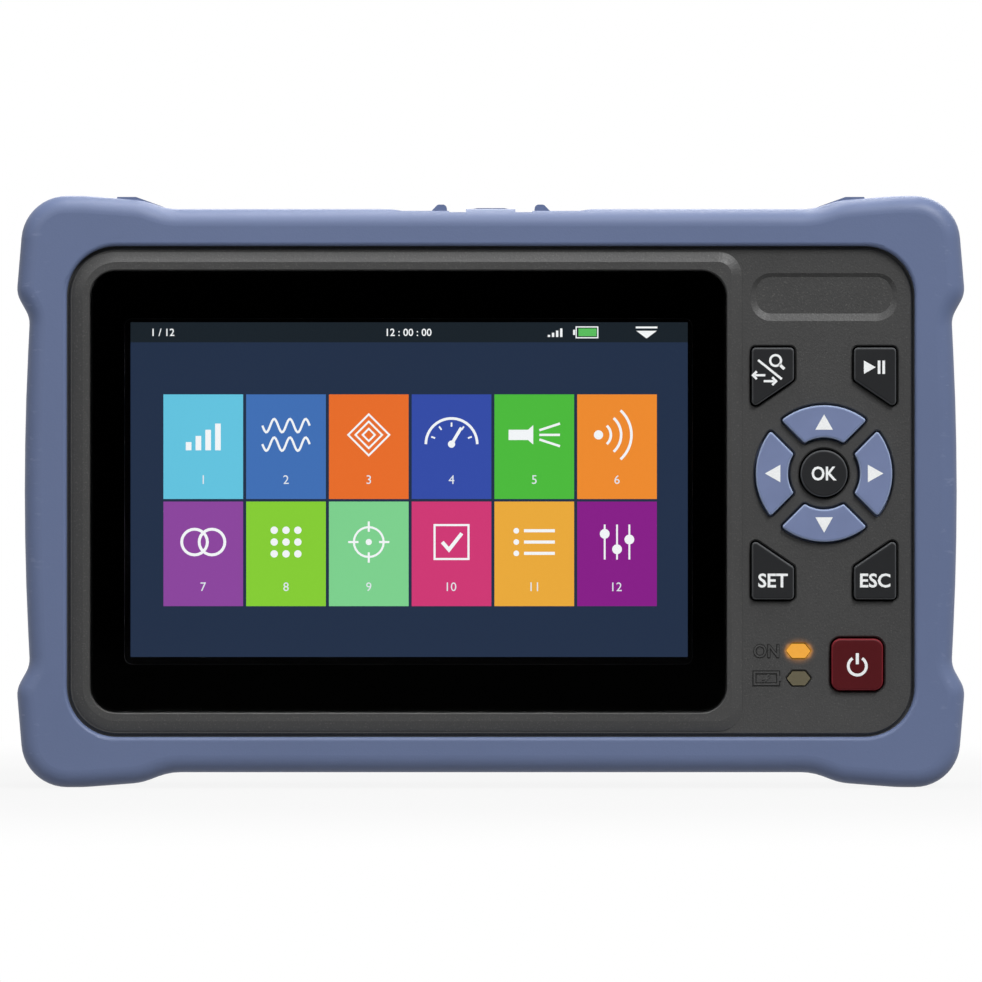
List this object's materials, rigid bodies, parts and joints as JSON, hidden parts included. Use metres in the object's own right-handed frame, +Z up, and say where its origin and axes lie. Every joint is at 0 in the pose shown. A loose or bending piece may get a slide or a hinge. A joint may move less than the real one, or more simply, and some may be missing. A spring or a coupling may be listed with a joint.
{
  "type": "optical time domain reflectometer",
  "caption": "Hand-held fibre tester with a colour touch display, a keypad, a blue protective boot, covered ports on top and a fold-out stand.",
  "frame": {"origin": "centre of the footprint, on the surface that the instrument stands on", "axes": "+X to the user's right along the display, +Y away from the user through the back, +Z up"},
  "size_m": [0.1842, 0.05, 0.115],
  "materials": {
    "boot_blue": "satin, fine grain",
    "case_grey": "fine texture",
    "jack_black": "satin",
    "seal_black": "matte",
    "steel": "satin",
    "display_glass": "polished",
    "tape_black": "matte",
    "display_black": "gloss",
    "board_green": "gloss",
    "amber_lens": "polished",
    "clear_lens": "polished",
    "nickel": "polished",
    "ceramic_white": "polished",
    "detector_glass": "polished",
    "contact_gold": "polished",
    "module_aluminium": "satin",
    "battery_wrap": "gloss",
    "key_blue": "satin",
    "key_dark": "satin",
    "key_red": "satin"
  },
  "bodies": {
    "case": {"protective_boot": "boot_blue", "front_shell": "case_grey", "rear_shell": "case_grey", "case_gasket": "seal_black", "case_screws": "steel", "touch_glass": "display_glass", "glass_tape": "tape_black", "display_foam": "seal_black", "display_module": "display_black", "display_bracket": "steel", "keypad_mat": "seal_black", "keypad_board": "board_green", "snap_domes": "steel", "power_light_pipe": "amber_lens", "charge_light_pipe": "clear_lens", "board_screws": "steel", "cover_anchors": "boot_blue", "port_tray": "jack_black", "otdr_port": "nickel", "otdr_port_sleeve": "ceramic_white", "otdr_port_ferrule": "ceramic_white", "meter_port": "nickel", "meter_port_sleeve": "ceramic_white", "meter_port_detector": "detector_glass", "laser_port": "nickel", "laser_port_sleeve": "ceramic_white", "laser_port_ferrule": "ceramic_white", "port_nuts": "nickel", "network_jack": "jack_black", "network_contacts": "contact_gold", "usb_socket": "nickel", "usb_tongue": "jack_black", "charge_jack": "jack_black", "charge_pin": "nickel", "main_board": "board_green", "optical_module": "module_aluminium", "buzzer": "jack_black", "kickstand_pins": "steel", "battery_pack": "battery_wrap", "battery_door": "case_grey", "battery_door_screws": "steel"},
    "key_ok": {"key_ok": "key_dark"},
    "key_up": {"key_up": "key_blue"},
    "key_right": {"key_right": "key_blue"},
    "key_down": {"key_down": "key_blue"},
    "key_left": {"key_left": "key_blue"},
    "key_zoom": {"key_zoom": "key_dark"},
    "key_run": {"key_run": "key_dark"},
    "key_set": {"key_set": "key_dark"},
    "key_escape": {"key_escape": "key_dark"},
    "key_power": {"key_power": "key_red"},
    "port_cover_left": {"port_cover_left": "boot_blue"},
    "port_cover_right": {"port_cover_right": "boot_blue"},
    "kickstand": {"kickstand": "case_grey"}
  },
  "joints": [
    {"name": "key_ok_press", "type": "slide", "parent": "case", "child": "key_ok", "axis": [0, 1, 0], "range_m": [0, 0.0008], "stiffness_N_per_m": 600},
    {"name": "key_up_press", "type": "slide", "parent": "case", "child": "key_up", "axis": [0, 1, 0], "range_m": [0, 0.0008], "stiffness_N_per_m": 600},
    {"name": "key_right_press", "type": "slide", "parent": "case", "child": "key_right", "axis": [0, 1, 0], "range_m": [0, 0.0008], "stiffness_N_per_m": 600},
    {"name": "key_down_press", "type": "slide", "parent": "case", "child": "key_down", "axis": [0, 1, 0], "range_m": [0, 0.0008], "stiffness_N_per_m": 600},
    {"name": "key_left_press", "type": "slide", "parent": "case", "child": "key_left", "axis": [0, 1, 0], "range_m": [0, 0.0008], "stiffness_N_per_m": 600},
    {"name": "key_zoom_press", "type": "slide", "parent": "case", "child": "key_zoom", "axis": [0, 1, 0], "range_m": [0, 0.0008], "stiffness_N_per_m": 600},
    {"name": "key_run_press", "type": "slide", "parent": "case", "child": "key_run", "axis": [0, 1, 0], "range_m": [0, 0.0008], "stiffness_N_per_m": 600},
    {"name": "key_set_press", "type": "slide", "parent": "case", "child": "key_set", "axis": [0, 1, 0], "range_m": [0, 0.0008], "stiffness_N_per_m": 600},
    {"name": "key_escape_press", "type": "slide", "parent": "case", "child": "key_escape", "axis": [0, 1, 0], "range_m": [0, 0.0008], "stiffness_N_per_m": 600},
    {"name": "key_power_press", "type": "slide", "parent": "case", "child": "key_power", "axis": [0, 1, 0], "range_m": [0, 0.0008], "stiffness_N_per_m": 600},
    {"name": "port_cover_left_hinge", "type": "hinge", "parent": "case", "child": "port_cover_left", "pos_m": [-0.049, 0, 0.11117], "axis": [0, -1, 0], "range_deg": [0, 120]},
    {"name": "port_cover_right_hinge", "type": "hinge", "parent": "case", "child": "port_cover_right", "pos_m": [0.049, 0, 0.11117], "axis": [0, 1, 0], "range_deg": [0, 120]},
    {"name": "kickstand_hinge", "type": "hinge", "parent": "case", "child": "kickstand", "pos_m": [0, 0.02125, 0.0955], "axis": [1, 0, 0], "range_deg": [0, 55]}
  ]
}
